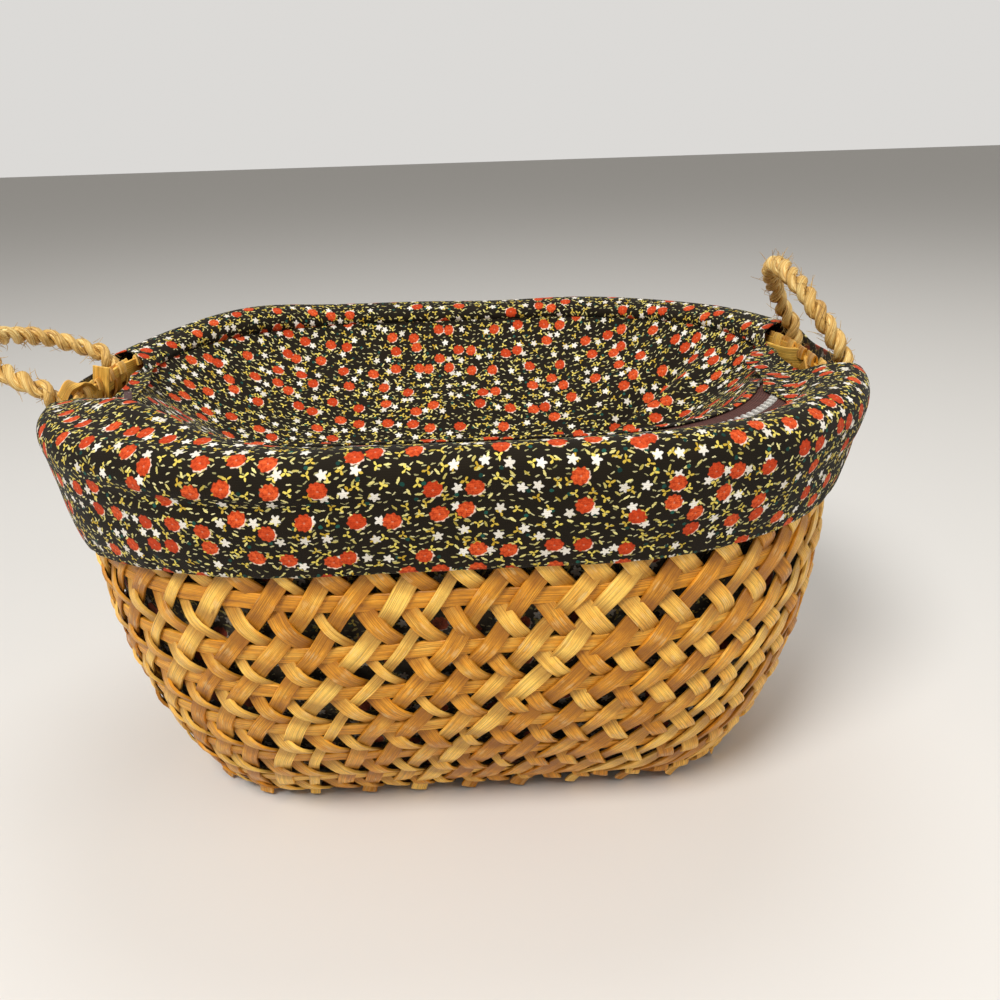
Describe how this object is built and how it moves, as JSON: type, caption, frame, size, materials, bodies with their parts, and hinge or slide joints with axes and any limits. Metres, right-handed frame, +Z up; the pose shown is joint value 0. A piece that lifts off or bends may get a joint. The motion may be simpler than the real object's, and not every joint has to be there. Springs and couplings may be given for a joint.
{
  "type": "lined egg gathering basket with zipped cover",
  "caption": "Woven cane basket with a cloth liner, a rolled cloth cuff, a zipped cloth cover that folds open and swinging rope handles, for gathering and carrying eggs.",
  "frame": {"origin": "on the floor, under the middle of the woven base", "axes": "+X along the basket towards its right end, -Y towards its front, +Z up"},
  "size_m": [0.3638, 0.2738, 0.2128],
  "materials": {
    "cane": "split cane, satin skin side, golden straw",
    "lining": "wrong side of printed cotton, matte",
    "printed_cotton": "black cotton with a small all-over floral print, matte",
    "elastic": "woven elastic, matte",
    "zip_tape": "woven zip tape, brown",
    "zip_metal": "bright metal zip teeth",
    "rope": "twisted straw rope, fibrous"
  },
  "bodies": {
    "basket": {"right_leaning_stakes": "cane", "left_leaning_stakes": "cane", "weaver_hoop_1": "cane", "weaver_hoop_2": "cane", "weaver_hoop_3": "cane", "weaver_hoop_4": "cane", "weaver_hoop_5": "cane", "weaver_hoop_6": "cane", "weaver_hoop_7": "cane", "rim_core_hoop": "cane", "base_mat": "cane", "liner_bottom": "lining", "liner_wall": "lining", "cuff": "printed_cotton", "hem_elastic": "elastic", "cover_back": "printed_cotton", "zip_chain_basket": "zip_metal", "zip_tape_basket": "zip_tape", "zip_end_stop": "zip_metal", "left_rope_root_front": "rope", "left_rope_root_back": "rope", "right_rope_root_front": "rope", "right_rope_root_back": "rope"},
    "cover_flap": {"cover_flap": "printed_cotton", "zip_chain_flap": "zip_metal", "zip_tape_flap": "zip_tape"},
    "zip_slider": {"zip_slider": "zip_metal"},
    "zip_pull": {"zip_pull_tab": "zip_metal"},
    "left_handle": {"left_handle_rope": "rope"},
    "right_handle": {"right_handle_rope": "rope"}
  },
  "joints": [
    {"name": "cover_flap_fold", "type": "hinge", "parent": "basket", "child": "cover_flap", "pos_m": [0, -0.026, 0.1684], "axis": [-1, 0, 0], "range_deg": [0, 150]},
    {"name": "zip_slider_travel", "type": "hinge", "parent": "basket", "child": "zip_slider", "pos_m": [-0.043, -0.014, 0.1665], "axis": [0, 0, 1], "range_deg": [0, 70]},
    {"name": "zip_pull_swing", "type": "hinge", "parent": "zip_slider", "child": "zip_pull", "pos_m": [-0.12684, -0.04072, 0.17095], "axis": [0.9528, 0.3037, 0], "range_deg": [0, 170]},
    {"name": "left_handle_swing", "type": "hinge", "parent": "basket", "child": "left_handle", "pos_m": [-0.15677, 0, 0.1735], "axis": [0, -1, 0], "range_deg": [-111, 30]},
    {"name": "right_handle_swing", "type": "hinge", "parent": "basket", "child": "right_handle", "pos_m": [0.15677, 0, 0.1735], "axis": [0, 1, 0], "range_deg": [-15, 126]}
  ]
}
